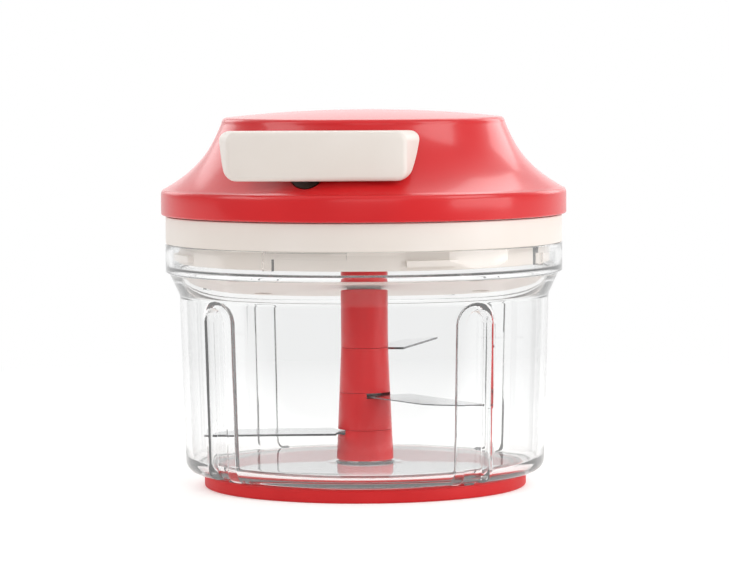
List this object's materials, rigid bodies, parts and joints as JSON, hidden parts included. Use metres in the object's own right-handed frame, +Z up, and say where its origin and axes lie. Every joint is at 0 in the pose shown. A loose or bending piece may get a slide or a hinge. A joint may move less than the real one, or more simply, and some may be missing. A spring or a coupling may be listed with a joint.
{
  "type": "vegetable chopper",
  "caption": "Pull-cord vegetable chopper: a clear bowl with a twist-lock lid, a spring-return cord handle and a tapered shaft of curved blades.",
  "frame": {"origin": "centre of the base ring's underside, on the blade shaft's axis", "axes": "+Z up along the blade shaft; -Y the way the handle is pulled; +X to the right of someone who faces the handle"},
  "size_m": [0.12, 0.12, 0.1115],
  "materials": {
    "red_plastic": "satin red moulding",
    "soft_red": "soft red elastomer",
    "cream_plastic": "cream moulding",
    "clear_plastic": "polished clear moulding",
    "blade_steel": "brushed stainless steel",
    "white_plastic": "plain white moulding",
    "dark_plastic": "dark brown moulding",
    "seal_silicone": "translucent silicone",
    "cord_nylon": "braided nylon"
  },
  "bodies": {
    "bowl": {"bowl": "clear_plastic", "pivot_pin": "blade_steel", "base_ring": "soft_red"},
    "seal": {"seal_ring": "seal_silicone"},
    "lid": {"lid_base": "cream_plastic", "top_cover": "red_plastic", "cord_eyelet": "dark_plastic", "axle_pin": "blade_steel", "lid_screw_1": "blade_steel", "lid_screw_2": "blade_steel", "lid_screw_3": "blade_steel", "lid_screw_4": "blade_steel", "recoil_spring": "blade_steel"},
    "reel": {"reel": "white_plastic", "spring_cover": "white_plastic", "drive_spindle": "white_plastic", "cord_winding": "cord_nylon"},
    "handle": {"handle_grip": "cream_plastic", "handle_back": "cream_plastic", "cord_knot": "cord_nylon", "cord_run": "cord_nylon"},
    "blades": {"shaft_core": "white_plastic", "foot_bush": "white_plastic", "foot_sleeve": "red_plastic", "lower_sleeve": "red_plastic", "middle_sleeve": "red_plastic", "drive_socket": "red_plastic", "blade_lower": "blade_steel", "blade_middle": "blade_steel", "blade_upper": "blade_steel"}
  },
  "joints": [
    {"name": "lid_lift", "type": "slide", "parent": "bowl", "child": "seal", "axis": [0, 0, 1], "range_m": [0, 0.08]},
    {"name": "lid_turn", "type": "hinge", "parent": "seal", "child": "lid", "pos_m": [0, 0, 0.0766], "axis": [0, 0, -1], "range_deg": [0, 39]},
    {"name": "handle_pull", "type": "slide", "parent": "lid", "child": "handle", "axis": [0, -1, 0], "range_m": [0, 0.3217], "stiffness_N_per_m": 20, "springref_m": -0.05, "deforming": ["cord_run"]},
    {"name": "reel_spin", "type": "hinge", "parent": "lid", "child": "reel", "pos_m": [0, 0, 0.094], "axis": [0, 0, 1], "range_deg": [0, 1441], "deforming": ["recoil_spring"]},
    {"name": "blade_spin", "type": "hinge", "parent": "bowl", "child": "blades", "pos_m": [0, 0, 0.0085], "axis": [0, 0, 1], "range_deg": [0, 1441]}
  ],
  "couplings": [
    {"joint": "reel_spin", "follows": "handle_pull", "rad_per_m": 78.125},
    {"joint": "blade_spin", "follows": "handle_pull", "rad_per_m": 78.125}
  ]
}
